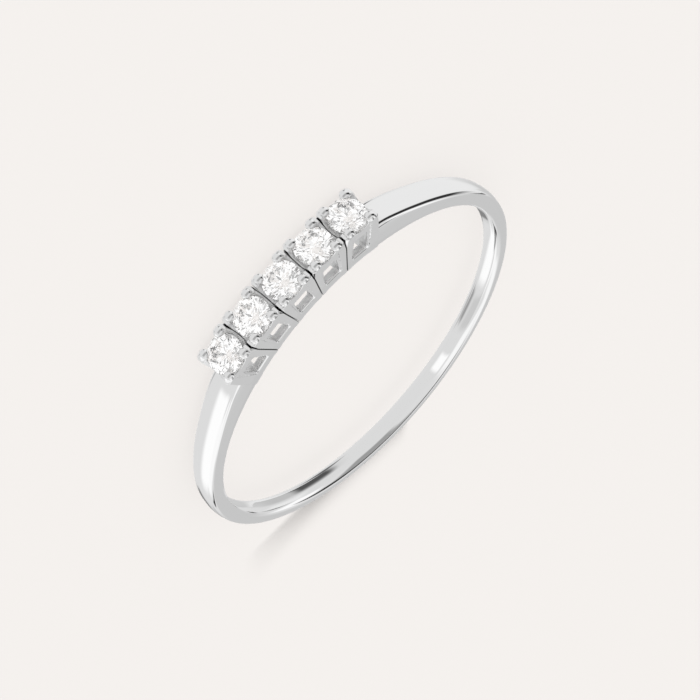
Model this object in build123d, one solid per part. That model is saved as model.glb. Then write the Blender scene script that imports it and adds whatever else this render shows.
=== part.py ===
from build123d import *
from collections import namedtuple
from math import asin, atan, cos, degrees, radians, sin, tan
import os

# Five-stone ring of polished white metal.
# The origin is the middle of the finger hole and Z is the finger axis.
# The row of stones faces -Y and the back of the band is at +Y. Lengths are in millimetres.

# Finger hole
FINGER_BORE_DIAMETER = 17.2

# Band beside the stones and at the back of the finger
SHOULDER_THICKNESS = 1.6
SHOULDER_WIDTH = 1.44
BACK_THICKNESS = 0.86
BACK_WIDTH = 0.96
CROWN_RISE = 0.05
SHOULDER_OUTER_EDGE_RADIUS = 0.05
SHOULDER_INNER_EDGE_RADIUS = 0.12
BACK_OUTER_EDGE_RADIUS = 0.18
BACK_INNER_EDGE_RADIUS = 0.32
# The band is first made this much too thick inwards, then trimmed by the finger hole
BORE_TRIM = 0.03

# Stones
STONE_DIAMETER = 1.8
STONE_GAP = 0.24
GIRDLE_HEIGHT = 2.87
GIRDLE_THICKNESS = 0.04
TABLE_DIAMETER = 1.03
CROWN_ANGLE = 34.5
PAVILION_ANGLE = 40.8
# Reach of the star and lower girdle facets, as shares of the way across the stone's edge
STAR_REACH = 0.52
LOWER_GIRDLE_REACH = 0.78
# Each stone is set turned a little about its own axis, one angle for each stone
STONE_TURNS = (9, 31, 0, 17, 40)
SEAT_CLEARANCE = 0.02

# Baskets: span is along the row of stones, width is along the finger axis
BASKET_BASE_SPAN = 2.24
BASKET_TOP_SPAN = 1.74
BASKET_TOP_WIDTH = 2.06
PANEL_SPAN = 1.08
PANEL_BASE_WIDTH = 1.4
PANEL_TOP_WIDTH = 1.68
SHAFT_SPAN = 0.92
SHAFT_WIDTH = 0.72
SHAFT_CORNER_RADIUS = 0.18
# Flat on each outer corner of a basket at the beads, which runs out this far below them
POST_CORNER_FLAT = 0.2
POST_CORNER_RUN = 1.3

# Window in each basket wall
WINDOW_SILL_HEIGHT = 0.58
WINDOW_HEIGHT = 1.42
WINDOW_SILL_SPAN = 0.9
WINDOW_HEAD_SPAN = 0.8
WINDOW_CORNER_RADIUS = 0.14

# Scoops between the posts, with their lowest points below the girdle
WALL_SCOOP_DROP = 0.28
WALL_SCOOP_RADIUS = 0.64
SIDE_SCOOP_DROP = 0.75
SIDE_SCOOP_RADIUS = 0.62

# Prong beads
BEAD_DIAMETER = 0.46
BEAD_GRIP = 0.1
BEAD_RISE = 0.1
# Direction from the stone's middle to a bead, turned from the row of stones
BEAD_DIRECTION = 52

# Grooves on the seams between neighbouring baskets
SEAM_WIDTH = 0.05
SEAM_DEPTH = 0.1

# The other facets lie halfway or a quarter of the way between the main ones
MAIN_FACETS = 8
MAIN_STEP = 360 / MAIN_FACETS
HALF_STEP = MAIN_STEP / 2
QUARTER_STEP = MAIN_STEP / 4

# Sizes worked out from those above
STONE_COUNT = len(STONE_TURNS)
BORE_RADIUS = FINGER_BORE_DIAMETER / 2
INNER_LIMIT = BORE_RADIUS - BORE_TRIM
GIRDLE_LEVEL = BORE_RADIUS + GIRDLE_HEIGHT
STONE_RADIUS = STONE_DIAMETER / 2
TABLE_RADIUS = TABLE_DIAMETER / 2
CROWN_HEIGHT = (STONE_RADIUS - TABLE_RADIUS) * tan(radians(CROWN_ANGLE))
PAVILION_DEPTH = STONE_RADIUS * tan(radians(PAVILION_ANGLE))
STONE_PITCH = 2 * degrees(asin((STONE_DIAMETER + STONE_GAP) / 2 / GIRDLE_LEVEL))
BEAD_RADIUS = BEAD_DIAMETER / 2
BEAD_LEVEL = GIRDLE_LEVEL + BEAD_RISE
BEAD_REACH = STONE_RADIUS + BEAD_RADIUS - BEAD_GRIP
BASKET_ANGLES = [(number - (STONE_COUNT - 1) / 2) * STONE_PITCH for number in range(STONE_COUNT)]
# Where a band's end is buried, in the middle of the end basket's outer wall
BURIED_END = (SHAFT_SPAN / 2 + BASKET_BASE_SPAN / 2) / 2
# Long enough for every cut to run right through
CUT_LENGTH = BASKET_TOP_WIDTH + BASKET_BASE_SPAN + GIRDLE_LEVEL

# Where the star facets' outer tips and the lower girdle facets' inner tips lie on a stone, and
# the tilts of the facets that follow from them
HALF_STEP_SHARE = cos(radians(HALF_STEP))
QUARTER_STEP_SHARE = cos(radians(QUARTER_STEP))
TABLE_EDGE_RADIUS = TABLE_RADIUS * HALF_STEP_SHARE
STAR_TIP_RADIUS = TABLE_EDGE_RADIUS + STAR_REACH * (STONE_RADIUS - TABLE_EDGE_RADIUS)
STAR_TIP_HEIGHT = (STONE_RADIUS - STAR_TIP_RADIUS * HALF_STEP_SHARE) * tan(radians(CROWN_ANGLE))
LOWER_TIP_RADIUS = (1 - LOWER_GIRDLE_REACH) * STONE_RADIUS
LOWER_TIP_DEPTH = (STONE_RADIUS - LOWER_TIP_RADIUS * HALF_STEP_SHARE) * tan(radians(PAVILION_ANGLE))
STAR_RISE = (CROWN_HEIGHT - STAR_TIP_HEIGHT) / (STAR_TIP_RADIUS - TABLE_EDGE_RADIUS)
UPPER_GIRDLE_RISE = STAR_TIP_HEIGHT / (STONE_RADIUS - STAR_TIP_RADIUS) / QUARTER_STEP_SHARE
LOWER_GIRDLE_RISE = LOWER_TIP_DEPTH / (STONE_RADIUS - LOWER_TIP_RADIUS) / QUARTER_STEP_SHARE
STAR_ANGLE = degrees(atan(STAR_RISE))
UPPER_GIRDLE_ANGLE = degrees(atan(UPPER_GIRDLE_RISE))
LOWER_GIRDLE_ANGLE = degrees(atan(LOWER_GIRDLE_RISE))

# One row for each section of half of the band. Place is the share of the way from the end
# basket to the back of the finger. The other columns run from 1, as at the shoulder, to 0,
# as at the back.
BandSection = namedtuple("BandSection", "place thickness width outer_edge inner_edge")
BAND_SECTIONS = (
    BandSection(0.0, 1.0, 1.0, 1.0, 1.0),
    BandSection(0.035, 0.93, 1.0, 1.0, 1.0),
    BandSection(0.075, 0.63, 0.99, 1.0, 1.0),
    BandSection(0.13, 0.29, 0.94, 1.0, 1.0),
    BandSection(0.2, 0.08, 0.86, 1.0, 0.93),
    BandSection(0.29, 0.0, 0.65, 0.95, 0.8),
    BandSection(0.42, 0.0, 0.33, 0.8, 0.5),
    BandSection(0.6, 0.0, 0.08, 0.4, 0.2),
    BandSection(0.8, 0.0, 0.0, 0.1, 0.0),
    BandSection(1.0, 0.0, 0.0, 0.0, 0.0),
)


def between(back, shoulder, share):
    """Size that is this share of the way from the back's size to the shoulder's."""
    return back + (shoulder - back) * share


def basket_place(angle):
    """Place of a basket, whose own frame has X along the row and Y away from the finger."""
    return Rot(0, 0, 180 + angle)


def level_plane(level):
    """Plane across a basket at this distance from the finger axis, with X along the row."""
    return Plane(origin=(0, level, 0), x_dir=(1, 0, 0), z_dir=(0, 1, 0))


def section_plane(angle):
    """Plane through the finger axis at an angle from the head, with X outwards and Y up it."""
    outwards = Vector(sin(radians(angle)), -cos(radians(angle)), 0)
    return Plane(origin=(0, 0, 0), x_dir=outwards, z_dir=outwards.cross(Vector(0, 0, 1)))


def band_section(angle, row):
    """Section of the band: a straight inside, two sides, a crowned outside and round corners."""
    half_width = between(BACK_WIDTH, SHOULDER_WIDTH, row.width) / 2
    inner = between(BACK_INNER_EDGE_RADIUS, SHOULDER_INNER_EDGE_RADIUS, row.inner_edge)
    outer = between(BACK_OUTER_EDGE_RADIUS, SHOULDER_OUTER_EDGE_RADIUS, row.outer_edge)
    crown = BORE_RADIUS + between(BACK_THICKNESS, SHOULDER_THICKNESS, row.thickness)
    edge = crown - CROWN_RISE
    boundary = [
        Line((INNER_LIMIT, inner - half_width), (INNER_LIMIT, half_width - inner)),
        CenterArc((INNER_LIMIT + inner, half_width - inner), inner, 180, -90),
        Line((INNER_LIMIT + inner, half_width), (edge - outer, half_width)),
        CenterArc((edge - outer, half_width - outer), outer, 90, -90),
        ThreePointArc((edge, half_width - outer), (crown, 0), (edge, outer - half_width)),
        CenterArc((edge - outer, outer - half_width), outer, 0, -90),
        Line((edge - outer, -half_width), (INNER_LIMIT + inner, -half_width)),
        CenterArc((INNER_LIMIT + inner, inner - half_width), inner, 270, -90),
    ]
    return section_plane(angle) * make_face(Wire(boundary))


def make_band():
    """Band from one end basket round the back of the finger to the other end basket."""
    start = BASKET_ANGLES[-1] + degrees(atan(BURIED_END / (BORE_RADIUS + SHOULDER_THICKNESS)))
    travel = 180 - start
    going = [band_section(start + travel * row.place, row) for row in BAND_SECTIONS]
    returning = [band_section(360 - start - travel * row.place, row) for row in BAND_SECTIONS[-2::-1]]
    return loft(going + returning)


def make_tapered_block(base_span, base_width, top_span, top_width):
    """Block with straight edges from the finger hole to the level of the beads."""
    base = level_plane(INNER_LIMIT) * Rectangle(base_span, base_width)
    top = level_plane(BEAD_LEVEL) * Rectangle(top_span, top_width)
    return loft([base, top], ruled=True)


def make_block():
    """Solid basket that grows wider and shorter in span from the finger hole to the beads."""
    block = make_tapered_block(BASKET_BASE_SPAN, SHOULDER_WIDTH, BASKET_TOP_SPAN, BASKET_TOP_WIDTH)
    for side in (-1, 1):
        for face in (-1, 1):
            block = split(block, bisect_by=corner_plane(side, face), keep=Keep.BOTTOM)
    return block


def corner_plane(side, face):
    """Plane that flattens one upright corner of a basket at the beads and runs out below them."""
    span, width = BASKET_TOP_SPAN / 2, BASKET_TOP_WIDTH / 2
    run = POST_CORNER_RUN / (BEAD_LEVEL - INNER_LIMIT)
    on_side = Vector(side * span, BEAD_LEVEL, face * (width - POST_CORNER_FLAT))
    on_face = Vector(side * (span - POST_CORNER_FLAT), BEAD_LEVEL, face * width)
    run_out = Vector(
        side * between(span, BASKET_BASE_SPAN / 2, run),
        BEAD_LEVEL - POST_CORNER_RUN,
        face * between(width, SHOULDER_WIDTH / 2, run),
    )
    normal = (on_face - on_side).cross(run_out - on_side) * side * face
    return Plane(origin=on_side, z_dir=normal)


def make_beads():
    """Round beads on the four posts of a basket."""
    span = BEAD_REACH * cos(radians(BEAD_DIRECTION))
    width = BEAD_REACH * sin(radians(BEAD_DIRECTION))
    bead = Rot(90, 0, 0) * Sphere(BEAD_RADIUS)
    return [Pos(side * span, BEAD_LEVEL, face * width) * bead for side in (-1, 1) for face in (-1, 1)]


def make_scoop(plane, radius, drop):
    """Round-bottomed cut between two posts, on a plane whose Y points away from the finger."""
    middle = GIRDLE_LEVEL - drop + radius
    above = Pos(0, middle + STONE_DIAMETER / 2) * Rectangle(2 * radius, STONE_DIAMETER)
    return extrude(plane * (Pos(0, middle) * Circle(radius) + above), amount=CUT_LENGTH / 2, both=True)


def make_posts():
    """Posts of one basket, still solid between its two faces, with their beads."""
    across_row = Plane(origin=(0, 0, 0), x_dir=(0, 0, 1), z_dir=(-1, 0, 0))
    return make_block() - make_scoop(across_row, SIDE_SCOOP_RADIUS, SIDE_SCOOP_DROP) + make_beads()


def make_slot():
    """Cut right through a basket between its posts, where the set back panels go."""
    return Pos(0, GIRDLE_LEVEL, 0) * Box(PANEL_SPAN, GIRDLE_LEVEL, CUT_LENGTH)


def make_panels():
    """Both panels of a basket in one block, scooped out under the edge of the stone."""
    block = make_tapered_block(PANEL_SPAN, PANEL_BASE_WIDTH, PANEL_SPAN, PANEL_TOP_WIDTH)
    return block - make_scoop(Plane.XY, WALL_SCOOP_RADIUS, WALL_SCOOP_DROP)


def make_window():
    """Cut through both walls of a basket, a little wider at the sill, with round corners."""
    sill = BORE_RADIUS + WINDOW_SILL_HEIGHT
    head = sill + WINDOW_HEIGHT
    corners = [
        (-WINDOW_SILL_SPAN / 2, sill),
        (WINDOW_SILL_SPAN / 2, sill),
        (WINDOW_HEAD_SPAN / 2, head),
        (-WINDOW_HEAD_SPAN / 2, head),
    ]
    face = make_face(Polyline(*corners, close=True))
    return extrude(fillet(face.vertices(), WINDOW_CORNER_RADIUS), amount=CUT_LENGTH / 2, both=True)


def make_shaft():
    """Open shaft from the finger hole up to the stone."""
    face = level_plane(0) * RectangleRounded(SHAFT_SPAN, SHAFT_WIDTH, SHAFT_CORNER_RADIUS)
    return extrude(face, amount=GIRDLE_LEVEL)


def round_point(turn, radius, height):
    """Point at a turn and radius about the stone's axis."""
    return Vector(radius * cos(radians(turn)), radius * sin(radians(turn)), height)


def facet(turn, tilt, point):
    """Plane of a facet that faces a turn about the stone's axis and holds a point."""
    direction = round_point(turn, sin(radians(tilt)), cos(radians(tilt)))
    return Plane(origin=point, z_dir=direction)


def stone_facets():
    """Planes of the main, star and girdle facets, with the girdle's top edge at height 0."""
    planes = []
    for number in range(MAIN_FACETS):
        turn = number * MAIN_STEP
        top = round_point(turn, STONE_RADIUS, 0)
        bottom = round_point(turn, STONE_RADIUS, -GIRDLE_THICKNESS)
        table_edge = round_point(turn + HALF_STEP, TABLE_EDGE_RADIUS, CROWN_HEIGHT)
        planes.append(facet(turn, CROWN_ANGLE, top))
        planes.append(facet(turn + HALF_STEP, STAR_ANGLE, table_edge))
        planes.append(facet(turn, 180 - PAVILION_ANGLE, bottom))
        for side in (-1, 1):
            planes.append(facet(turn + side * QUARTER_STEP, UPPER_GIRDLE_ANGLE, top))
            planes.append(facet(turn + side * QUARTER_STEP, 180 - LOWER_GIRDLE_ANGLE, bottom))
    return planes


def make_stone():
    """Round brilliant with its table up and the girdle's top edge at height 0."""
    blank_height = CROWN_HEIGHT + GIRDLE_THICKNESS + 2 * PAVILION_DEPTH
    stone = Pos(0, 0, CROWN_HEIGHT - blank_height / 2) * Cylinder(STONE_RADIUS, blank_height)
    for plane in stone_facets():
        stone = split(stone, bisect_by=plane, keep=Keep.BOTTOM)
    return stone


def make_seat():
    """Round space for a stone, larger than the stone all over by the seat's clearance."""
    right = [
        (LOWER_TIP_RADIUS, -GIRDLE_THICKNESS - LOWER_TIP_DEPTH),
        (STONE_RADIUS, -GIRDLE_THICKNESS),
        (STONE_RADIUS, 0),
        (STAR_TIP_RADIUS, STAR_TIP_HEIGHT),
        (TABLE_RADIUS, CROWN_HEIGHT),
    ]
    left = [(-radius, height) for radius, height in reversed(right)]
    culet = (0, -GIRDLE_THICKNESS - PAVILION_DEPTH)
    face = make_face(Polyline(culet, *right, *left, close=True))
    space = offset(face, amount=SEAT_CLEARANCE, kind=Kind.INTERSECTION)
    half = split(space, bisect_by=Plane.YZ, keep=Keep.TOP)
    return Pos(0, GIRDLE_LEVEL, 0) * revolve(half, axis=Axis.Y)


def make_seams():
    """Narrow grooves in both faces of the row of baskets, on each seam between two of them."""
    height = GIRDLE_LEVEL - INNER_LIMIT
    low = SHOULDER_WIDTH / 2 - SEAM_DEPTH
    groove = Box(SEAM_WIDTH, height, BASKET_TOP_WIDTH)
    grooves = []
    for angle in BASKET_ANGLES[:-1]:
        for face in (-1, 1):
            place = Pos(0, INNER_LIMIT + height / 2, face * (low + BASKET_TOP_WIDTH / 2))
            grooves.append(basket_place(angle + STONE_PITCH / 2) * place * groove)
    return grooves


def make_metal():
    """Band and baskets, soldered into one solid."""
    places = [basket_place(angle) for angle in BASKET_ANGLES]
    posts, slot, panels = make_posts(), make_slot(), make_panels()
    openings = [make_window(), make_shaft(), make_seat()]
    metal = make_band() + [place * posts for place in places]
    metal -= [place * slot for place in places]
    metal += [place * panels for place in places]
    metal -= [place * opening for place in places for opening in openings]
    metal -= make_seams()
    return metal - Cylinder(BORE_RADIUS, CUT_LENGTH)


def make_stones():
    """All stones, each in its own basket and turned by its own angle."""
    stone = make_stone()
    seat = Pos(0, GIRDLE_LEVEL, 0) * Rot(-90, 0, 0)
    turned = zip(BASKET_ANGLES, STONE_TURNS)
    return [basket_place(angle) * seat * Rot(0, 0, turn) * stone for angle, turn in turned]


os.makedirs("parts", exist_ok=True)
export_step(make_metal(), "parts/band_and_baskets.step")
for number, stone in enumerate(make_stones(), start=1):
    export_step(stone, f"parts/diamond_{number}.step")
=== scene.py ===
"""Looks of a slim five-stone ring of polished white gold, lying on a pale studio floor."""
import logging
import math
from collections.abc import Sequence
from dataclasses import dataclass
from enum import Enum

import bmesh
import bpy
from mathutils import Matrix, Vector


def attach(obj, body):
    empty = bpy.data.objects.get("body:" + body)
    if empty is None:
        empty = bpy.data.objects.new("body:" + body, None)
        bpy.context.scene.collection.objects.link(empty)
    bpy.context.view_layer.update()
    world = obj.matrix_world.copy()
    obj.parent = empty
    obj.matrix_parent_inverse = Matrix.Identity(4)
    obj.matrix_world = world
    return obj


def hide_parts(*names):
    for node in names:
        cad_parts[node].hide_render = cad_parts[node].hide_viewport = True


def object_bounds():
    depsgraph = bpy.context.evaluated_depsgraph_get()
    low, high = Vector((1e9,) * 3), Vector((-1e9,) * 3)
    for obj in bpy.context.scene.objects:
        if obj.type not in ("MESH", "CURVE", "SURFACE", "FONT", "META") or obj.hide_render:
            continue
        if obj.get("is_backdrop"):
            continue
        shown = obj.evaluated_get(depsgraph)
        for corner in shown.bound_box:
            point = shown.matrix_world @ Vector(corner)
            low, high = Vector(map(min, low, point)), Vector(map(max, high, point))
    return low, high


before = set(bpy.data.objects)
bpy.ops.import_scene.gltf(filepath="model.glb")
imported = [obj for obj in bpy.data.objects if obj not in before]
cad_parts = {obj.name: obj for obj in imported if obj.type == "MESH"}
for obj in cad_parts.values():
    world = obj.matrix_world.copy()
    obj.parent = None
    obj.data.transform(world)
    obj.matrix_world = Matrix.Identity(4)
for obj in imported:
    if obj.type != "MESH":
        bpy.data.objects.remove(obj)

LOG = logging.getLogger("ring")
BODY = "root"
METAL_NODE = "band_and_baskets"
STONE_COUNT = 5
STONE_NODES = tuple(f"diamond_{number}" for number in range(1, STONE_COUNT + 1))
MM = 0.001
WHITE = (1.0, 1.0, 1.0, 1.0)
SIDES = (-1, 1)
CORNERS = tuple((side, face) for side in SIDES for face in SIDES)

# Radius of the finger hole in millimetres, and the angle between neighbouring stones in degrees.
BORE_RADIUS = 8.6
STONE_PITCH = 10.2086

# Directions in the frame.
ALONG_ROW = Vector((1.0, 0.0, 0.0))
TO_BACK = Vector((0.0, 1.0, 0.0))
UP = Vector((0.0, 0.0, 1.0))

# Tolerances in millimetres, for points that merge, lie on a plane or lie on a level.
MERGE_DISTANCE = 1e-4
PLANE_SLACK = 1e-6
LEVEL_SLACK = 1e-5

# Sockets of the Mix node that are used for colours.
MIX_FACTOR, MIX_FIRST, MIX_SECOND, MIX_RESULT = 0, 6, 7, 2

# Share of its distance over which a card or patch fades at the edge of its own half of the surroundings.
HALF_FADE = 0.1

Color = tuple[float, float, float, float]
Pair = tuple[float, float]


class Work(Enum):
    """What a tool does to a basket."""

    CUT = "DIFFERENCE"
    JOIN = "UNION"


class Size(Enum):
    """Sizes that change along the band, by their names in its classes."""

    THICKNESS = "thickness"
    WIDTH = "width"
    OUTER_EDGE = "outer_edge"
    INNER_EDGE = "inner_edge"


class Ray(Enum):
    """Kinds of light rays, by the setting that shows an object to them."""

    CAMERA = "visible_camera"
    DIFFUSE = "visible_diffuse"
    GLOSSY = "visible_glossy"
    TRANSMISSION = "visible_transmission"
    SCATTER = "visible_volume_scatter"
    SHADOW = "visible_shadow"


class Value:
    """A node socket on which sums can be written as Python expressions."""

    def __init__(self, nodes: "Nodes", socket: bpy.types.NodeSocket | None) -> None:
        """Keeps the socket and the node tree that new Math nodes go into."""
        self.nodes = nodes
        self.socket = socket

    def _math(self, operation: str, *terms: "Value | float") -> "Value":
        """Adds a Math node.

        Args:
            operation: The Math node's operation.
            terms: Its inputs in order, as values or numbers.

        Returns:
            The node's result.
        """
        inputs = dict(enumerate(terms))
        return self.nodes.add("ShaderNodeMath", {"operation": operation}, inputs)

    def __add__(self, other: "Value | float") -> "Value":
        """Sum."""
        return self._math("ADD", self, other)

    def __sub__(self, other: "Value | float") -> "Value":
        """Difference."""
        return self._math("SUBTRACT", self, other)

    def __rsub__(self, other: "Value | float") -> "Value":
        """Difference with this value taken away."""
        return self._math("SUBTRACT", other, self)

    def __mul__(self, other: "Value | float") -> "Value":
        """Product."""
        return self._math("MULTIPLY", self, other)

    __radd__ = __add__
    __rmul__ = __mul__

    def __neg__(self) -> "Value":
        """The same size with the other sign."""
        return self._math("MULTIPLY", self, -1.0)

    def size(self) -> "Value":
        """Size without its sign."""
        return self._math("ABSOLUTE", self)

    def nearest(self) -> "Value":
        """Nearest whole number."""
        return self._math("ROUND", self)

    def angle_from(self, other: "Value") -> "Value":
        """Angle of which this value is the sine's side and the other the cosine's."""
        return self._math("ARCTAN2", self, other)

    def smooth_step(self, low: float, high: float) -> "Value":
        """Runs smoothly from 0 at low to 1 at high.

        Args:
            low: Value that gives 0.
            high: Value that gives 1.

        Returns:
            The smoothed share.
        """
        settings = {"interpolation_type": "SMOOTHSTEP"}
        inputs = {"Value": self, "From Min": low, "From Max": high}
        return self.nodes.add("ShaderNodeMapRange", settings, inputs)


class Nodes:
    """A shader node tree that is written through one method."""

    def __init__(self, tree: bpy.types.NodeTree) -> None:
        """Clears the tree."""
        self.tree = tree
        tree.nodes.clear()

    def add(
        self,
        kind: str,
        settings: dict[str, object] | None = None,
        inputs: dict[str | int, object] | None = None,
        output: str | int = 0,
    ) -> Value:
        """Adds a node.

        Args:
            kind: The node's type.
            settings: Its properties, which are set first.
            inputs: Values or links for its sockets, by name or number.
            output: The socket to hand back.

        Returns:
            The chosen output as a value.
        """
        node = self.tree.nodes.new(kind)
        for name, setting in (settings or {}).items():
            setattr(node, name, setting)
        for name, given in (inputs or {}).items():
            if isinstance(given, Value):
                self.tree.links.new(given.socket, node.inputs[name])
            else:
                node.inputs[name].default_value = given
        return Value(self, node.outputs[output] if len(node.outputs) else None)

    def dot(self, vector: Value, axis: Vector) -> Value:
        """How far a vector reaches along an axis.

        Args:
            vector: The vector.
            axis: The axis, of length 1.

        Returns:
            Their dot product.
        """
        settings = {"operation": "DOT_PRODUCT"}
        return self.add("ShaderNodeVectorMath", settings, {0: vector, 1: tuple(axis)}, "Value")

    def length(self, vector: Value) -> Value:
        """Length of a vector."""
        return self.add("ShaderNodeVectorMath", {"operation": "LENGTH"}, {0: vector}, "Value")

    def noise(self, place: Value, scale: float, detail: float) -> Value:
        """Soft random pattern, by its scale and how many finer layers it has."""
        return self.add("ShaderNodeTexNoise", inputs={"Vector": place, "Scale": scale, "Detail": detail})


def new_material(name: str) -> tuple[bpy.types.Material, Nodes]:
    """Makes a material with an empty node tree.

    Args:
        name: Name of the material.

    Returns:
        The material, and its node tree.
    """
    material = bpy.data.materials.new(name)
    material.use_nodes = True
    return material, Nodes(material.node_tree)


@dataclass(frozen=True)
class PolishedMetal:
    """Bright rhodium-plated white gold with the faint clouds and waviness of hand polish."""

    color: Color = (0.93, 0.93, 0.93, 1.0)
    roughness: float = 0.035
    roughness_spread: float = 0.05
    cloud_scale: float = 900.0
    cloud_detail: float = 3.0
    wave_scale: float = 260.0
    wave_detail: float = 1.0
    wave_depth: float = 0.0035 * MM

    def build(self, name: str = "polished_white_gold") -> bpy.types.Material:
        """Makes the material.

        Args:
            name: Name of the material.

        Returns:
            The finished material.
        """
        material, nodes = new_material(name)
        place = nodes.add("ShaderNodeTexCoord", output="Object")
        cloud = nodes.noise(place, self.cloud_scale, self.cloud_detail)
        wave = nodes.noise(place, self.wave_scale, self.wave_detail)
        relief = {"Height": wave, "Strength": 1.0, "Distance": self.wave_depth}
        bump = nodes.add("ShaderNodeBump", inputs=relief)
        shader = nodes.add(
            "ShaderNodeBsdfPrincipled",
            inputs={
                "Base Color": self.shade(nodes, place),
                "Metallic": 1.0,
                "Roughness": self.satin(nodes, place, cloud * self.roughness_spread + self.roughness),
                "Normal": bump,
            },
        )
        nodes.add("ShaderNodeOutputMaterial", inputs={"Surface": shader})
        return material

    def shade(self, nodes: Nodes, place: Value) -> Value | Color:
        """Colour over the surface, which is even here."""
        return self.color

    def satin(self, nodes: Nodes, place: Value, polish: Value) -> Value:
        """Roughness over the surface, which is that of the polish here."""
        return polish


@dataclass(frozen=True)
class BasketMetal(PolishedMetal):
    """The same metal where it is pierced: painted shade in the seams between baskets, and satin inside,
    where no buff reaches.
    """

    seam_shade_color: Color = (0.12, 0.12, 0.125, 1.0)
    seam_reach: Pair = (0.042 * MM, 0.02 * MM)
    seam_widths: Pair = (0.4 * MM, 0.7 * MM)
    pitch: float = math.radians(STONE_PITCH)
    end_seams: Pair = (2.35, 2.1)
    satin_roughness: float = 0.4
    satin_widths: Pair = (0.66 * MM, 0.56 * MM)
    satin_radii: Pair = (8.64 * MM, 8.74 * MM)

    def shade(self, nodes: Nodes, place: Value) -> Value:
        """Colour over the surface, with painted shade in the seams between baskets.

        Args:
            nodes: The material's node tree.
            place: Place on the surface.

        Returns:
            The colour.
        """
        along, back = nodes.dot(place, ALONG_ROW), nodes.dot(place, TO_BACK)
        turn = (-along).angle_from(-back) * (1.0 / self.pitch)
        gap = (0.5 - (turn - turn.nearest()).size()) * nodes.length(place) * self.pitch
        width = nodes.dot(place, UP).size()
        # Painted shade: the colour darkens towards the seams between neighbouring baskets, near both faces.
        shade_in_seams = gap.smooth_step(*self.seam_reach) * turn.size().smooth_step(*self.end_seams)
        shade_in_seams = shade_in_seams * width.smooth_step(*self.seam_widths)
        colors = {MIX_FACTOR: shade_in_seams, MIX_FIRST: self.color, MIX_SECOND: self.seam_shade_color}
        return nodes.add("ShaderNodeMix", {"data_type": "RGBA"}, colors, MIX_RESULT)

    def satin(self, nodes: Nodes, place: Value, polish: Value) -> Value:
        """Roughness over the surface, higher inside the baskets.

        Args:
            nodes: The material's node tree.
            place: Place on the surface.
            polish: Roughness of the polished faces.

        Returns:
            The roughness.
        """
        width = nodes.dot(place, UP).size()
        flat = nodes.add("ShaderNodeVectorMath", {"operation": "MULTIPLY"}, {0: place, 1: (1.0, 1.0, 0.0)})
        radius = nodes.length(flat)
        inside = width.smooth_step(*self.satin_widths) * radius.smooth_step(*self.satin_radii)
        return polish + inside * (self.satin_roughness - polish)


@dataclass(frozen=True)
class ClearDiamond:
    """Colourless diamond with sharp, clean facets."""

    color: Color = WHITE
    index: float = 2.42

    def build(self) -> bpy.types.Material:
        """Makes the material.

        Returns:
            The finished material.
        """
        material, nodes = new_material("clear_diamond")
        shader = nodes.add(
            "ShaderNodeBsdfPrincipled",
            inputs={
                "Base Color": self.color,
                "Roughness": 0.0,
                "IOR": self.index,
                "Transmission Weight": 1.0,
            },
        )
        nodes.add("ShaderNodeOutputMaterial", inputs={"Surface": shader})
        return material


@dataclass(frozen=True)
class PaleFloorFinish:
    """Matt off-white paper, lit mostly from below as on a product table, so that shadows stay faint."""

    color: Color = (0.913, 0.880, 0.855, 1.0)
    shadow_share: float = 0.2
    lamp_light: float = 3.1

    def build(self) -> bpy.types.Material:
        """Makes the material.

        Returns:
            The finished material.
        """
        material, nodes = new_material("pale_paper")
        # The glow makes up what the surround and the lamp leave of the paper's own brightness.
        from_below = (1.0 - self.shadow_share * (1.0 + self.lamp_light)) / (1.0 - self.shadow_share)
        paper = nodes.add("ShaderNodeBsdfDiffuse", inputs={"Color": self.color})
        glow = nodes.add("ShaderNodeEmission", inputs={"Color": self.color, "Strength": from_below})
        shader = nodes.add("ShaderNodeMixShader", inputs={0: self.shadow_share, 1: glow, 2: paper})
        nodes.add("ShaderNodeOutputMaterial", inputs={"Surface": shader})
        return material


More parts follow.
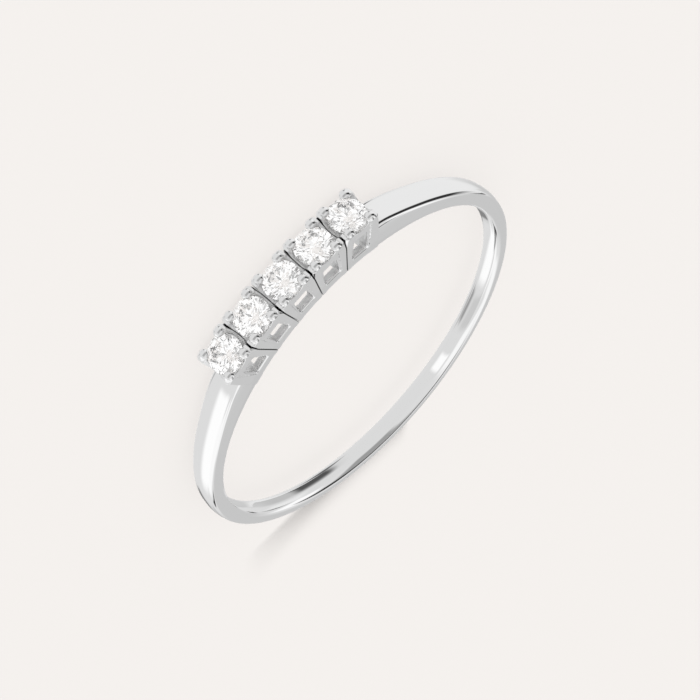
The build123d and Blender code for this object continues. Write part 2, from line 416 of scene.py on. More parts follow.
class Form:
    """A shape that is made with bmesh operators."""

    def __init__(self) -> None:
        """Starts empty."""
        self.mesh = bmesh.new()

    def outline(
        self, spans: Pair, levels: Pair, radius: float = 0.0, segments: int = 8
    ) -> list[bmesh.types.BMFace]:
        """Flat four-sided face in the XY plane, which may taper and have round corners.

        Args:
            spans: Its lengths along X at the lower and the upper level.
            levels: Its lower and upper level along Y.
            radius: Radius of its corners.
            segments: Steps of each round corner.

        Returns:
            The face, in a list.
        """
        corners = bmesh.ops.create_grid(self.mesh, x_segments=1, y_segments=1, size=1.0)["verts"]
        for corner in corners:
            end = int(corner.co.y > 0.0)
            corner.co = Vector((math.copysign(spans[end] / 2, corner.co.x), levels[end], 0.0))
        if radius:
            self.round_corners(corners, radius, segments)
        return list(self.mesh.faces)

    def round_corners(self, corners: list[bmesh.types.BMVert], radius: float, segments: int) -> None:
        """Rounds corners of a flat outline.

        Args:
            corners: The corners.
            radius: Radius of each round.
            segments: Steps of each round.
        """
        bmesh.ops.bevel(
            self.mesh,
            geom=corners,
            affect="VERTICES",
            offset=radius,
            offset_type="OFFSET",
            segments=segments,
            profile=0.5,
            material=-1,
        )

    def run(
        self, faces: list[bmesh.types.BMFace], along: Vector, first: bool = True
    ) -> list[bmesh.types.BMFace]:
        """Pulls faces out along a vector.

        Args:
            faces: The faces at the start.
            along: How far and which way they go.
            first: Whether they are the form's first faces, which stay as its lower end.

        Returns:
            The faces at the end.
        """
        made = bmesh.ops.extrude_face_region(self.mesh, geom=faces, use_keep_orig=True)["geom"]
        moved = [item for item in made if isinstance(item, bmesh.types.BMVert)]
        bmesh.ops.translate(self.mesh, verts=moved, vec=along)
        if not first:
            bmesh.ops.delete(self.mesh, geom=faces, context="FACES_ONLY")
        return [item for item in made if isinstance(item, bmesh.types.BMFace)]

    def place(self, matrix: Matrix) -> "Form":
        """Moves the whole form, and hands it back."""
        bmesh.ops.transform(self.mesh, matrix=matrix, verts=self.mesh.verts)
        return self

    def bisect(self, point: Vector, normal: Vector) -> None:
        """Cuts off what lies outside a plane and closes the cut.

        Args:
            point: A point on the plane.
            normal: The plane's outward normal.
        """
        geometry = [*self.mesh.verts, *self.mesh.edges, *self.mesh.faces]
        cut = bmesh.ops.bisect_plane(
            self.mesh, geom=geometry, plane_co=point, plane_no=normal, clear_outer=True, dist=PLANE_SLACK
        )["geom_cut"]
        rim = [item for item in cut if isinstance(item, bmesh.types.BMEdge)]
        bmesh.ops.contextual_create(self.mesh, geom=rim)

    def to_object(self, name: str) -> bpy.types.Object:
        """Turns the form into an object that is linked to the scene, with faces that point outwards.

        Args:
            name: Name of the object and its mesh.

        Returns:
            The object.
        """
        bmesh.ops.recalc_face_normals(self.mesh, faces=self.mesh.faces)
        mesh = bpy.data.meshes.new(name)
        self.mesh.to_mesh(mesh)
        self.mesh.free()
        made = bpy.data.objects.new(name, mesh)
        bpy.context.scene.collection.objects.link(made)
        return made


def block(spans: Pair, widths: Pair, levels: Pair) -> Form:
    """Block with straight edges between two levels along Y.

    Args:
        spans: Lengths along X at the lower and the upper level.
        widths: Widths along Z at the lower and the upper level.
        levels: The two levels.

    Returns:
        The block.
    """
    form = Form()
    for corner in bmesh.ops.create_cube(form.mesh, size=2.0)["verts"]:
        end = int(corner.co.y > 0.0)
        corner.co = Vector((corner.co.x * spans[end] / 2, levels[end], corner.co.z * widths[end] / 2))
    return form


def scoop(radius: float, middle: float, rise: float, length: float, segments: int = 64) -> Form:
    """Round-bottomed cutter that runs along Z.

    Args:
        radius: Radius of its bottom.
        middle: Level of the round's middle along Y.
        rise: How far it goes on above that.
        length: Its length along Z.
        segments: Steps of the full round.

    Returns:
        The cutter.
    """
    form = Form()
    ring = bmesh.ops.create_circle(form.mesh, cap_ends=True, radius=radius, segments=segments)["verts"]
    upper = [point for point in ring if point.co.y > 0.0]
    bmesh.ops.translate(form.mesh, verts=upper, vec=(0.0, rise, 0.0))
    bmesh.ops.translate(form.mesh, verts=ring, vec=(0.0, middle, -length / 2))
    form.run(list(form.mesh.faces), Vector((0.0, 0.0, length)))
    return form


def turned(profile: Sequence[Pair], steps: int = 96) -> Form:
    """Round form about the Y axis.

    Args:
        profile: Radius and level of each point, from the bottom to the top of the axis.
        steps: Steps all round.

    Returns:
        The form.
    """
    form = Form()
    line = [form.mesh.verts.new((radius, level, 0.0)) for radius, level in profile]
    edges = [form.mesh.edges.new(pair) for pair in zip(line, line[1:])]
    bmesh.ops.spin(
        form.mesh,
        geom=line + edges,
        cent=(0.0, 0.0, 0.0),
        axis=(0.0, 1.0, 0.0),
        angle=math.tau,
        steps=steps,
        use_merge=True,
    )
    bmesh.ops.remove_doubles(form.mesh, verts=form.mesh.verts, dist=MERGE_DISTANCE)
    return form


def tube(radius: float, length: float, segments: int, closed: bool = True) -> Form:
    """Straight round form about the Z axis, with its middle at the origin.

    Args:
        radius: Its radius.
        length: Its length.
        segments: Steps all round.
        closed: Whether it has ends.

    Returns:
        The form.
    """
    form = Form()
    bmesh.ops.create_cone(
        form.mesh, cap_ends=closed, segments=segments, radius1=radius, radius2=radius, depth=length
    )
    return form


def outward(turn: float) -> Vector:
    """Direction away from the finger axis, by its angle in degrees from the middle of the row of stones."""
    angle = math.radians(turn)
    return Vector((-math.sin(angle), -math.cos(angle), 0.0))


def hide(item: bpy.types.Object, *rays: Ray) -> None:
    """Hides an object from kinds of light rays."""
    for ray in rays:
        setattr(item, ray.value, False)


def finished(worked: bpy.types.Object, name: str, place: Matrix) -> bpy.types.Mesh:
    """Applies an object's modifiers and takes its mesh from millimetres to its place in the frame.

    Args:
        worked: The object with its modifiers.
        name: Name for the mesh.
        place: Turn in the frame.

    Returns:
        The finished mesh.
    """
    shown = worked.evaluated_get(bpy.context.evaluated_depsgraph_get())
    mesh = bpy.data.meshes.new_from_object(shown)
    mesh.name = name
    mesh.transform(place @ Matrix.Scale(MM, 4))
    mesh.shade_smooth()
    return mesh


def add_piece(name: str, mesh: bpy.types.Mesh, finish: bpy.types.Material) -> bpy.types.Object:
    """Adds a finished metal piece that stands for the ring's metal node.

    Args:
        name: Name of the piece.
        mesh: Its mesh, in place.
        finish: Its material.

    Returns:
        The piece.
    """
    mesh.materials.clear()
    mesh.materials.append(finish)
    piece = bpy.data.objects.new(name, mesh)
    bpy.context.scene.collection.objects.link(piece)
    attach(piece, BODY)
    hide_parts(METAL_NODE)
    LOG.info("built %s with %d faces", name, len(mesh.polygons))
    return piece


@dataclass
class Basket:
    """Square basket with windows, posts and beads, in its own frame and in millimetres.

    X runs along the row of stones, Y away from the finger and Z along the finger axis.
    """

    bore_radius: float = BORE_RADIUS
    bore_overlap: float = 0.1
    bore_length: float = 6.0
    bore_steps: int = 720
    base_span: float = 2.24
    base_width: float = 1.44
    top_span: float = 1.96
    top_width: float = 2.06
    top_level: float = 11.57
    girdle_level: float = 11.47
    panel_span: float = 1.08
    panel_widths: Pair = (1.42, 1.83)
    wall_scoop_radius: float = 0.64
    wall_scoop_drop: float = 0.28
    side_scoop_radius: float = 0.62
    side_scoop_drop: float = 0.3
    cutter_rise: float = 2.0
    cutter_length: float = 4.0
    cutter_margin: float = 1.0
    window_spans: Pair = (0.88, 0.78)
    window_levels: Pair = (9.2, 10.58)
    window_radius: float = 0.12
    window_depth: float = 0.6
    window_rim: float = 0.1
    rim_steps: int = 6
    shaft_span: float = 0.92
    shaft_width: float = 0.72
    shaft_radius: float = 0.18
    stone_radius: float = 0.9
    stone_clearance: float = 0.02
    seat_depth: float = 0.84
    seat_edges: Pair = (-0.052, 0.012)
    seat_top_radius: float = 0.515
    seat_height: float = 0.28
    bead_radius: float = 0.26
    bead_rise: float = 0.235
    bead_level: float = 11.54
    bead_span: float = 0.62
    bead_width: float = 0.775
    bead_steps: int = 5
    corner_flat: float = 0.12
    corner_run: float = 1.3
    stone_pitch: float = STONE_PITCH
    seam_half_gap: float = 0.014
    neighbour_size: float = 8.0
    neighbour_level: float = 11.0
    voxel: float = 0.024
    softening: int = 7
    softening_factor: float = 0.5

    @property
    def low(self) -> float:
        """Level just inside the finger hole, where the block starts."""
        return self.bore_radius - self.bore_overlap

    def corner_plane(self, side: int, face: int) -> tuple[Vector, Vector]:
        """Plane that flattens an outer corner below the beads.

        Args:
            side: Which end of the span, -1 or 1.
            face: Which face, -1 or 1.

        Returns:
            A point on the plane, and its outward normal.
        """
        span, width = self.top_span / 2, self.top_width / 2
        share = self.corner_run / (self.top_level - self.low)
        on_side = Vector((side * span, self.top_level, face * (width - self.corner_flat)))
        on_face = Vector((side * (span - self.corner_flat), self.top_level, face * width))
        run_out = Vector(
            (
                side * (span + (self.base_span / 2 - span) * share),
                self.top_level - self.corner_run,
                face * (width + (self.base_width / 2 - width) * share),
            )
        )
        return on_side, (on_face - on_side).cross(run_out - on_side) * side * face

    def posts(self) -> Form:
        """Outer block of the basket with its corners flattened.

        Returns:
            The block.
        """
        spans, widths = (self.base_span, self.top_span), (self.base_width, self.top_width)
        form = block(spans, widths, (self.low, self.top_level))
        for side, face in CORNERS:
            form.bisect(*self.corner_plane(side, face))
        return form

    def beads(self) -> list[Form]:
        """Round beads on the posts.

        Returns:
            The four beads.
        """
        forms = []
        for side, face in CORNERS:
            form = Form()
            bmesh.ops.create_icosphere(form.mesh, subdivisions=self.bead_steps, radius=self.bead_radius)
            form.place(Matrix.Diagonal((1.0, self.bead_rise / self.bead_radius, 1.0, 1.0)))
            form.place(Matrix.Translation((side * self.bead_span, self.bead_level, face * self.bead_width)))
            forms.append(form)
        return forms

    def side_scoop(self) -> Form:
        """Cutter between the posts on each end of the span.

        Returns:
            The cutter.
        """
        middle = self.girdle_level - self.side_scoop_drop + self.side_scoop_radius
        form = scoop(self.side_scoop_radius, middle, self.cutter_rise, self.cutter_length)
        return form.place(Matrix.Rotation(math.pi / 2, 4, "Y"))

    def wall_scoop(self) -> Form:
        """Cutter in both panels, under the edge of the stone."""
        middle = self.girdle_level - self.wall_scoop_drop + self.wall_scoop_radius
        return scoop(self.wall_scoop_radius, middle, self.cutter_rise, self.cutter_length)

    def window(self, face: int) -> Form:
        """Cutter for the window in one panel, with a round rim at its mouth.

        Args:
            face: Which panel, -1 or 1.

        Returns:
            The cutter.
        """
        form = Form()
        middle = sum(self.window_levels) / 2
        opening = form.outline(self.window_spans, self.window_levels, self.window_radius)
        bmesh.ops.translate(form.mesh, verts=form.mesh.verts, vec=(0.0, -middle, -self.window_depth))
        half_span, half_height = self.window_spans[0] / 2, middle - self.window_levels[0]
        grown, reached = 0.0, -self.window_depth
        for step in range(self.rim_steps + 1):
            angle = math.pi / 2 * step / self.rim_steps
            level = self.window_rim * (math.sin(angle) - 1.0)
            opening = form.run(opening, Vector((0.0, 0.0, level - reached)), first=step == 0)
            growth, reached = self.window_rim * (1.0 - math.cos(angle)), level
            wider = (half_span + growth) / (half_span + grown)
            taller = (half_height + growth) / (half_height + grown)
            edge = list({corner for part in opening for corner in part.verts})
            bmesh.ops.scale(form.mesh, verts=edge, vec=(wider, taller, 1.0))
            grown = growth
        form.run(opening, Vector((0.0, 0.0, self.cutter_margin)), first=False)
        form.place(Matrix.Translation((0.0, middle, 0.0)))
        foot, top = (width / 2 for width in self.panel_widths)
        for point in form.mesh.verts:
            share = (point.co.y - self.low) / (self.top_level - self.low)
            point.co.z += foot + (top - foot) * share
        return form.place(Matrix.Diagonal((1.0, 1.0, float(face), 1.0)))

    def shaft(self) -> Form:
        """Cutter for the open shaft under the stone.

        Returns:
            The cutter.
        """
        form = Form()
        half = self.shaft_width / 2
        face = form.outline((self.shaft_span, self.shaft_span), (-half, half), self.shaft_radius)
        form.run(face, Vector((0.0, 0.0, self.girdle_level)))
        return form.place(Matrix.Rotation(-math.pi / 2, 4, "X"))

    def seat(self) -> Form:
        """Cutter for the round space in which the stone sits.

        Returns:
            The cutter.
        """
        rim = self.stone_radius + self.stone_clearance
        lower, upper = self.seat_edges
        profile = (
            (0.0, -self.seat_depth),
            (rim, lower),
            (rim, upper),
            (self.seat_top_radius, self.seat_height),
            (0.0, self.seat_height),
        )
        return turned([(radius, self.girdle_level + level) for radius, level in profile])

    def finger_hole(self) -> Form:
        """Cutter for the finger hole."""
        return tube(self.bore_radius, self.bore_length, self.bore_steps)

    def neighbour(self, side: int) -> Form:
        """Cutter that takes away what would stand in the next basket.

        Args:
            side: Which end of the span, -1 or 1.

        Returns:
            The cutter.
        """
        form = Form()
        bmesh.ops.create_cube(form.mesh, size=self.neighbour_size)
        reach = self.neighbour_size / 2 - self.seam_half_gap
        shift = Matrix.Translation((side * reach, self.neighbour_level, 0.0))
        return form.place(Matrix.Rotation(-side * math.radians(self.stone_pitch / 2), 4, "Z") @ shift)

    def steps(self, free_sides: Sequence[int]) -> list[tuple[Work, Form]]:
        """Tools that make the basket out of its outer block, in order.

        Args:
            free_sides: The ends of its span that have no neighbour.

        Returns:
            Each tool, with what it does.
        """
        panels = block((self.panel_span,) * 2, self.panel_widths, (self.low, self.top_level))
        slot_levels = (self.low - self.cutter_margin, self.top_level + self.cutter_margin)
        slot = block((self.panel_span,) * 2, (self.cutter_length,) * 2, slot_levels)
        cutters = (self.wall_scoop(), self.shaft(), self.window(-1), self.window(1))
        steps = [(Work.CUT, self.side_scoop()), (Work.CUT, slot), (Work.JOIN, panels)]
        steps += [(Work.CUT, cutter) for cutter in cutters]
        steps += [(Work.JOIN, bead) for bead in self.beads()]
        steps += [(Work.CUT, self.seat()), (Work.CUT, self.finger_hole())]
        steps += [(Work.CUT, self.neighbour(side)) for side in SIDES if side not in free_sides]
        return steps

    def build(self, name: str, place: Matrix, free_sides: Sequence[int] = ()) -> bpy.types.Mesh:
        """Makes the mesh of one basket.

        Args:
            name: Name of the mesh.
            place: Turn of the basket in the frame.
            free_sides: The ends of its span that have no neighbour.

        Returns:
            The mesh, in place.
        """
        worked = self.posts().to_object(name)
        tools = []
        for number, (work, form) in enumerate(self.steps(free_sides)):
            tools.append(form.to_object(f"tool_{number}"))
            change = worked.modifiers.new(f"step_{number}", "BOOLEAN")
            change.operation = work.value
            change.solver = "EXACT"
            change.object = tools[-1]
        skin = worked.modifiers.new("skin", "REMESH")
        skin.mode = "VOXEL"
        skin.voxel_size = self.voxel
        soft = worked.modifiers.new("soft", "SMOOTH")
        soft.factor = self.softening_factor
        soft.iterations = self.softening
        mesh = finished(worked, name, place)
        for tool in tools + [worked]:
            bpy.data.objects.remove(tool)
        return mesh


@dataclass(frozen=True)
class BandSection:
    """One section of half of the band.

    Its place is the share of the way from the end basket to the back of the finger. The others are shares of
    the band's sizes, from 0, as at the back, to 1, as at the shoulder.
    """

    place: float
    thickness: float
    width: float
    outer_edge: float
    inner_edge: float


@dataclass
class Band:
    """Band from one end basket round the back of the finger to the other, in millimetres and degrees.

    Each pair of sizes holds the one at the back and the one at the shoulders.
    """

    bore_radius: float = BORE_RADIUS
    start: float = 24.9
    steps: int = 180
    thickness: Pair = (0.86, 1.6)
    width: Pair = (0.96, 1.44)
    outer_edge: Pair = (0.18, 0.12)
    inner_edge: Pair = (0.45, 0.12)
    side_roll: float = 0.19
    corner_steps: int = 12
    crown: float = 0.05
    crown_cuts: int = 15
    sections: tuple[BandSection, ...] = (
        BandSection(0.0, 1.0, 1.0, 1.0, 1.0),
        BandSection(0.035, 0.93, 1.0, 1.0, 1.0),
        BandSection(0.075, 0.63, 0.99, 1.0, 1.0),
        BandSection(0.13, 0.29, 0.94, 1.0, 1.0),
        BandSection(0.2, 0.08, 0.86, 1.0, 0.93),
        BandSection(0.29, 0.0, 0.65, 0.95, 0.8),
        BandSection(0.42, 0.0, 0.33, 0.8, 0.5),
        BandSection(0.6, 0.0, 0.08, 0.4, 0.2),
        BandSection(0.8, 0.0, 0.0, 0.1, 0.0),
        BandSection(1.0, 0.0, 0.0, 0.0, 0.0),
    )

    def slope(self, number: int, size: Size) -> float:
        """How fast one of the shares changes at a section.

        Args:
            number: Number of the section.
            size: Which size it is the share of.

        Returns:
            Its change over the whole way.
        """
        before = self.sections[max(number - 1, 0)]
        after = self.sections[min(number + 1, len(self.sections) - 1)]
        return (getattr(after, size.value) - getattr(before, size.value)) / (after.place - before.place)

    def at(self, place: float, size: Size) -> float:
        """One of the band's sizes, run smoothly between the sections.

        Args:
            place: Share of the way from the end basket to the back of the finger.
            size: Which size.

        Returns:
            The size there.
        """
        number = next(index for index, row in enumerate(self.sections[1:]) if place <= row.place)
        here, there = self.sections[number], self.sections[number + 1]
        gap = there.place - here.place
        share = (place - here.place) / gap
        rest = 1.0 - share
        leaving, arriving = self.slope(number, size), self.slope(number + 1, size)
        eased = getattr(here, size.value) * (1 + 2 * share) * rest**2
        eased += getattr(there, size.value) * (3 - 2 * share) * share**2
        eased += gap * (leaving * share * rest**2 - arriving * share**2 * rest)
        back, shoulder = getattr(self, size.value)
        return back + (shoulder - back) * min(max(eased, 0.0), 1.0)

    def outline(self, place: float) -> Form:
        """Flat outline of the band at a place, with its inner face along X and its outer face above it.

        Args:
            place: Share of the way from the end basket to the back of the finger.

        Returns:
            The outline.
        """
        thickness, width = self.at(place, Size.THICKNESS), self.at(place, Size.WIDTH)
        top = thickness - self.crown
        piece = Form()
        piece.outline((width, width), (0.0, top))
        for level, radius in ((top, self.side_roll), (0.0, self.at(place, Size.INNER_EDGE))):
            corners = [corner for corner in piece.mesh.verts if abs(corner.co.y - level) < LEVEL_SLACK]
            piece.round_corners(corners, radius, self.corner_steps)
        # The outer rounds keep their depth, and their width is the edge's size at this place.
        squeeze = self.at(place, Size.OUTER_EDGE) / self.side_roll
        for point in piece.mesh.verts:
            if point.co.y > top - self.side_roll:
                point.co.x -= math.copysign((1.0 - squeeze) * (abs(point.co.x) - width / 2), point.co.x)
        flat = [edge for edge in piece.mesh.edges if all(end.co.y > top - LEVEL_SLACK for end in edge.verts)]
        bmesh.ops.subdivide_edges(piece.mesh, edges=flat, cuts=self.crown_cuts)
        raised = [point for point in piece.mesh.verts if point.co.y > top - LEVEL_SLACK]
        half = max(point.co.x for point in raised)
        for point in raised:
            point.co.y += self.crown * (1.0 - (point.co.x / half) ** 2)
        return piece

    def section(self, form: Form, turn: float) -> list[bmesh.types.BMEdge]:
        """Adds one section's outline to the band.

        Args:
            form: The band so far.
            turn: Where it goes, in degrees from the middle of the row of stones.

        Returns:
            The outline's edges.
        """
        place = min(turn - self.start, 360.0 - self.start - turn) / (180.0 - self.start)
        piece = self.outline(min(max(place, 0.0), 1.0))
        outwards = outward(turn)
        stand = Matrix((UP, outwards, UP.cross(outwards))).transposed().to_4x4()
        stand.translation = outwards * self.bore_radius
        piece.place(stand)
        copies = {point: form.mesh.verts.new(point.co) for point in piece.mesh.verts}
        edges = [form.mesh.edges.new([copies[end] for end in edge.verts]) for edge in piece.mesh.edges]
        piece.mesh.free()
        return edges

    def build(self, name: str) -> bpy.types.Mesh:
        """Makes the band's mesh.

        Args:
            name: Name of the mesh.

        Returns:
            The mesh, in place.
        """
        form = Form()
        travel = 360.0 - 2 * self.start
        turns = [self.start + travel * step / self.steps for step in range(self.steps + 1)]
        rings = [self.section(form, turn) for turn in turns]
        for ring, following in zip(rings, rings[1:]):
            bmesh.ops.bridge_loops(form.mesh, edges=ring + following)
        for ring in (rings[0], rings[-1]):
            bmesh.ops.contextual_create(form.mesh, geom=ring)
        worked = form.to_object(name)
        mesh = finished(worked, name, Matrix.Identity(4))
        bpy.data.objects.remove(worked)
        return mesh


@dataclass
class Ring:
    """All metal pieces and stones of the ring."""

    metal: PolishedMetal
    pierced: BasketMetal
    stone: ClearDiamond

    def build(self) -> None:
        """Builds the metal pieces and dresses the stones."""
        add_piece("band", Band().build("band"), self.metal.build())
        finish = self.pierced.build("pierced_white_gold")
        basket = Basket()
        middle = (STONE_COUNT - 1) / 2
        for number in range(STONE_COUNT):
            turn = Matrix.Rotation(math.radians(180.0 + (number - middle) * basket.stone_pitch), 4, "Z")
            free = [side for side, end in ((1, 0), (-1, STONE_COUNT - 1)) if number == end]
            name = f"basket_{number + 1}"
            add_piece(name, basket.build(name, turn, free), finish)
        clear = self.stone.build()
        for name in STONE_NODES:
            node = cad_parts[name]
            node.data.materials.clear()
            node.data.materials.append(clear)
            LOG.info("dressed %s", name)


@dataclass(frozen=True)
class Card:
    """A white reflector or a black flag of the studio, by the direction it stands in, in degrees."""

    turn: float
    height: float
    reach: Pair
    brightness: float
    softness: float

    def mask(self, nodes: Nodes, direction: Value) -> Value:
        """Share of the card in a direction.

        Args:
            nodes: The world's node tree.
            direction: Direction that is looked in.

        Returns:
            1 on the card, 0 away from it.
        """
        turn, height = math.radians(self.turn), math.radians(self.height)
        level = math.cos(height)
        middle = Vector((math.sin(turn) * level, math.cos(turn) * level, math.sin(height)))
        across = Vector((math.cos(turn), -math.sin(turn), 0.0))
        share = nodes.dot(direction, middle).smooth_step(0.0, HALF_FADE)
        for axis, reach in zip((across, across.cross(middle)), self.reach):
            size = math.sin(math.radians(reach))
            offset = nodes.dot(direction, axis).size()
            share = share * offset.smooth_step(size, size * (1.0 - self.softness))
        return share


@dataclass(frozen=True)
class Patch:
    """A lighter or darker place on the glowing roll, which the metal shows as a painted reflection, by its
    angle in degrees and its level in millimetres.

    Its reach is an angle round the roll and a length along the finger axis.
    """

    angle: float
    level: float
    reach: Pair
    brightness: float
    softness: float

    def mask(self, nodes: Nodes, place: Value, radius: float) -> Value:
        """Share of the patch at a place.

        Args:
            nodes: The roll's node tree.
            place: Place on the roll.
            radius: Radius of the roll.

        Returns:
            1 on the patch, 0 away from it.
        """
        outwards = outward(self.angle)
        sizes = (radius * math.sin(math.radians(self.reach[0])), self.reach[1] * MM)
        share = nodes.dot(place, outwards).smooth_step(0.0, HALF_FADE * radius)
        aside = nodes.dot(place, UP.cross(outwards)).size()
        above = (nodes.dot(place, UP) - self.level * MM).size()
        for offset, size in zip((aside, above), sizes):
            share = share * offset.smooth_step(size, size * (1.0 - self.softness))
        return share


@dataclass
class ReflectionRoll:
    """Glowing roll in the finger hole, which only the polished metal sees: a painted reflection of the
    floor, darker where it stands for the floor's shade beside the band.
    """

    radius: float = 8.1 * MM
    levels: Pair = (-1.04 * MM, 1.1 * MM)
    steps: int = 180
    back: float = 0.75
    front: float = 0.58
    half_change: float = 0.5 * MM
    # Painted reflections: the dark patches stand for the floor's shade under the band, and the brightest are
    # painted highlights.
    patches: tuple[Patch, ...] = (
        Patch(-137.0, -0.6, (22.0, 0.9), 0.55, 0.6),
        Patch(-144.0, -0.8, (10.0, 1.0), 0.09, 0.5),
        Patch(-132.0, 0.8, (10.0, 0.6), 0.86, 0.5),
        Patch(124.0, 0.1, (14.0, 0.7), 1.05, 0.4),
        Patch(118.0, 0.9, (6.0, 0.4), 0.2, 0.5),
        Patch(164.0, 0.3, (4.0, 0.8), 1.05, 0.5),
        Patch(145.0, -0.8, (8.0, 0.6), 0.36, 0.5),
        Patch(146.0, 0.6, (8.0, 1.0), 0.62, 0.5),
    )

    def paper(self) -> bpy.types.Material:
        """Makes the roll's glow, whose patches paint highlights and shade into the metal's reflections.

        Returns:
            The finished material.
        """
        material, nodes = new_material("painted_reflection_glow")
        place = nodes.add("ShaderNodeTexCoord", output="Object")
        ahead = nodes.dot(place, -TO_BACK).smooth_step(-self.half_change, self.half_change)
        shown = ahead * (self.front - self.back) + self.back
        for patch in self.patches:
            shown = shown + patch.mask(nodes, place, self.radius) * (patch.brightness - shown)
        glow = nodes.add("ShaderNodeEmission", inputs={"Color": WHITE, "Strength": shown})
        nodes.add("ShaderNodeOutputMaterial", inputs={"Surface": glow})
        return material

    def build(self) -> None:
        """Stands the roll in the finger hole."""
        low, high = self.levels
        form = tube(self.radius, high - low, self.steps, closed=False)
        form.place(Matrix.Translation((0.0, 0.0, (low + high) / 2)))
        roll = form.to_object("painted_reflection_roll")
        roll.data.shade_smooth()
        roll.data.materials.append(self.paper())
        hide(roll, Ray.CAMERA, Ray.DIFFUSE, Ray.TRANSMISSION, Ray.SCATTER, Ray.SHADOW)
        roll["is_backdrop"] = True


@dataclass
class LowLamp:
    """Low lamp that lights the floor alone, and a pointed flag behind the band, which gives its soft shadow.

    The flag stands along the row of stones and the light crosses it, before both are turned about the ring's
    axis.
    """

    light: float
    turn: float = math.radians(-22.3)
    elevation: float = math.radians(17.0)
    softness: float = math.radians(11.6)
    flag_distance: float = 9.36 * MM
    flag_start: float = -4.42 * MM
    flag_levels: Pair = (-0.91 * MM, -0.12 * MM)
    flag_tip: Pair = (5.94 * MM, 0.16 * MM)

    def flag(self) -> bpy.types.Object:
        """Makes the flag, which only the lamp's light meets.

        Returns:
            The flag.
        """
        form = Form()
        corners = [(self.flag_start, level) for level in self.flag_levels] + [self.flag_tip]
        points = [form.mesh.verts.new((along, self.flag_distance, level)) for along, level in corners]
        bmesh.ops.contextual_create(form.mesh, geom=points)
        form.place(Matrix.Rotation(self.turn, 4, "Z"))
        made = form.to_object("shadow_flag")
        hide(made, Ray.CAMERA, Ray.DIFFUSE, Ray.GLOSSY, Ray.TRANSMISSION, Ray.SCATTER)
        made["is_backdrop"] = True
        return made

    def build(self) -> None:
        """Sets up the lamp and its flag."""
        data = bpy.data.lights.new("low_lamp", "SUN")
        data.energy = self.light * math.pi / math.sin(self.elevation)
        data.angle = self.softness
        lamp = bpy.data.objects.new("low_lamp", data)
        travel = Vector((0.0, math.cos(self.elevation), -math.sin(self.elevation)))
        travel.rotate(Matrix.Rotation(self.turn, 3, "Z"))
        lamp.matrix_world = travel.to_track_quat("-Z", "Y").to_matrix().to_4x4()
        bpy.context.scene.collection.objects.link(lamp)
        hide(lamp, Ray.CAMERA, Ray.GLOSSY, Ray.TRANSMISSION)
        blockers = bpy.data.collections.new("low_lamp_blockers")
        blockers.objects.link(self.flag())
        lamp.light_linking.blocker_collection = blockers


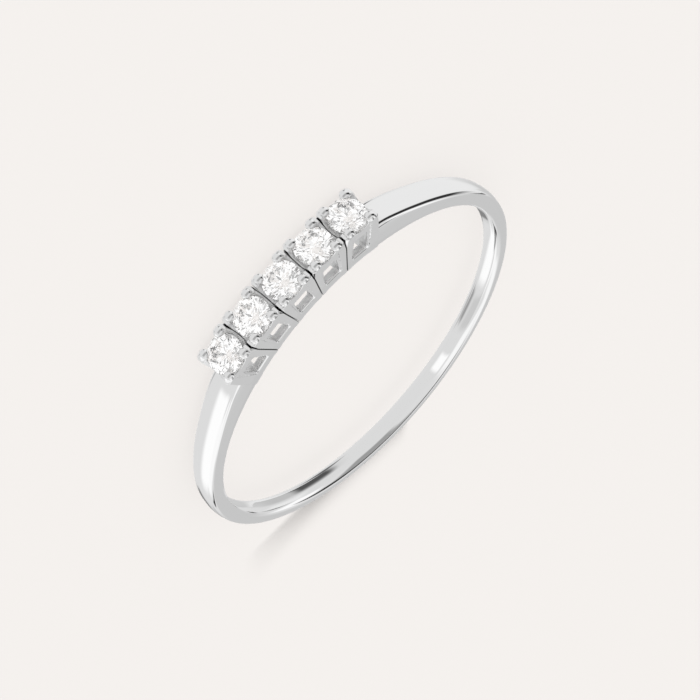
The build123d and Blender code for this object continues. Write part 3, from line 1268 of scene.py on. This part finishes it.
@dataclass
class Studio:
    """Pale floor, soft light from all round and the camera, with its angles in degrees."""

    paper: PaleFloorFinish = PaleFloorFinish()
    floor_size: float = 3.0
    azimuth: float = 1.864
    elevation: float = 22.632
    roll: float = 130.597
    distance: float = 273.6 * MM
    target: tuple[float, float, float] = (0.007 * MM, -0.494 * MM, 0.0)
    picture_width: float = 700.0
    focal_pixels: float = 6103.8
    sensor: float = 36.0
    clip_start: float = 0.01
    bounces: int = 24
    surround: float = 0.76
    stone_surround: float = 1.2
    cards: tuple[Card, ...] = (
        Card(180.0, 14.0, (55.0, 24.0), 0.42, 0.4),
        Card(-76.0, -22.0, (52.0, 24.0), 0.87, 0.4),
        Card(72.0, -6.0, (36.0, 20.0), 1.06, 0.4),
        Card(64.0, 18.0, (24.0, 28.0), 1.02, 0.4),
        Card(-5.0, 2.0, (32.0, 34.0), 0.6, 0.35),
        Card(-50.0, 44.0, (26.0, 11.0), 1.05, 0.5),
        Card(26.0, 46.0, (28.0, 11.0), 1.0, 0.5),
        Card(75.0, 68.0, (34.0, 14.0), 1.0, 0.5),
        Card(-75.0, 72.0, (34.0, 14.0), 0.35, 0.5),
        Card(-18.0, 52.0, (20.0, 9.0), 0.04, 0.4),
        Card(-92.0, 16.0, (50.0, 18.0), 0.03, 0.35),
        Card(12.0, -24.0, (9.0, 4.0), 0.25, 0.5),
        Card(-80.0, -54.0, (18.0, 9.0), 0.15, 0.5),
        Card(78.0, -54.0, (20.0, 8.0), 0.5, 0.5),
        Card(34.0, 10.0, (4.0, 16.0), 0.04, 0.5),
        Card(-36.0, 10.0, (3.0, 14.0), 0.08, 0.5),
    )
    stone_cards: tuple[Card, ...] = (
        Card(180.0, 22.0, (13.0, 13.0), 0.35, 0.4),
        Card(120.0, 35.0, (9.0, 20.0), 0.5, 0.4),
        Card(-120.0, 40.0, (9.0, 20.0), 0.5, 0.4),
        Card(-40.0, 30.0, (12.0, 25.0), 0.6, 0.4),
        Card(40.0, -20.0, (20.0, 20.0), 0.7, 0.4),
    )

    def place_camera(self) -> None:
        """Adds the camera, turned about its own axis as the photograph is."""
        az, el = math.radians(self.azimuth), math.radians(self.elevation)
        back = Vector((math.sin(az) * math.cos(el), -math.cos(az) * math.cos(el), math.sin(el)))
        right = Vector((math.cos(az), math.sin(az), 0.0))
        level_view = Matrix((right, back.cross(right), back)).transposed()
        view = level_view @ Matrix.Rotation(math.radians(self.roll), 3, "Z")
        data = bpy.data.cameras.new("camera")
        data.sensor_width = self.sensor
        data.lens = self.focal_pixels / self.picture_width * self.sensor
        data.clip_start = self.clip_start
        camera = bpy.data.objects.new("camera", data)
        stand = Matrix.Translation(Vector(self.target) + back * self.distance)
        camera.matrix_world = stand @ view.to_4x4()
        bpy.context.scene.collection.objects.link(camera)
        bpy.context.scene.camera = camera

    def lay_floor(self, level: float) -> None:
        """Lays the floor.

        Args:
            level: Height of the floor.
        """
        mesh = bpy.data.meshes.new("floor")
        sheet = bmesh.new()
        bmesh.ops.create_grid(sheet, size=self.floor_size / 2)
        bmesh.ops.translate(sheet, verts=sheet.verts, vec=(0.0, 0.0, level))
        sheet.to_mesh(mesh)
        sheet.free()
        mesh.materials.append(self.paper.build())
        floor = bpy.data.objects.new("floor", mesh)
        bpy.context.scene.collection.objects.link(floor)
        hide(floor, Ray.GLOSSY)
        floor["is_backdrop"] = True

    def surroundings(self, nodes: Nodes, direction: Value, base: float, cards: Sequence[Card]) -> Value:
        """Brightness that a surface sees in a direction.

        Args:
            nodes: The world's node tree.
            direction: Direction that is looked in.
            base: Brightness between the cards.
            cards: The cards, from the back to the front.

        Returns:
            The brightness.
        """
        shown: Value | float = base
        for card in cards:
            mask = card.mask(nodes, direction)
            shown = shown + mask * (card.brightness - shown)
        return shown

    def light(self) -> None:
        """Lights the scene with a pale surround, and shows the metal and the stones their own cards."""
        world = bpy.data.worlds.new("studio")
        bpy.context.scene.world = world
        world.use_nodes = True
        nodes = Nodes(world.node_tree)
        direction = nodes.add("ShaderNodeTexCoord", output="Generated")
        metal_view = self.surroundings(nodes, direction, self.surround, self.cards)
        stone_view = self.surroundings(nodes, direction, self.stone_surround, self.stone_cards)
        polished = nodes.add("ShaderNodeLightPath", output="Is Glossy Ray")
        clear = nodes.add("ShaderNodeLightPath", output="Is Transmission Ray")
        strength = 1.0 + polished * (1.0 - clear) * (metal_view - 1.0) + clear * (stone_view - 1.0)
        background = nodes.add("ShaderNodeBackground", inputs={"Color": WHITE, "Strength": strength})
        nodes.add("ShaderNodeOutputWorld", inputs={"Surface": background})
        bpy.context.scene.view_settings.view_transform = "Standard"
        cycles = bpy.context.scene.cycles
        cycles.max_bounces = self.bounces
        cycles.glossy_bounces = self.bounces
        cycles.transmission_bounces = self.bounces

    def build(self, floor_level: float) -> None:
        """Sets up camera, floor and light.

        Args:
            floor_level: Height of the floor.
        """
        self.place_camera()
        self.lay_floor(floor_level)
        self.light()
        ReflectionRoll().build()
        LowLamp(self.paper.lamp_light).build()


def as_numbers(box: tuple[Vector, Vector]) -> list[list[float]]:
    """A box as plain lists of numbers."""
    return [[float(value) for value in corner] for corner in box]


def main() -> None:
    """Builds and dresses the ring and its studio."""
    logging.basicConfig(level=logging.INFO, format="%(message)s")
    cad_box = as_numbers(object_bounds())
    Ring(PolishedMetal(), BasketMetal(), ClearDiamond()).build()
    Studio().build(cad_box[0][2])


if __name__ == "__main__":
    main()
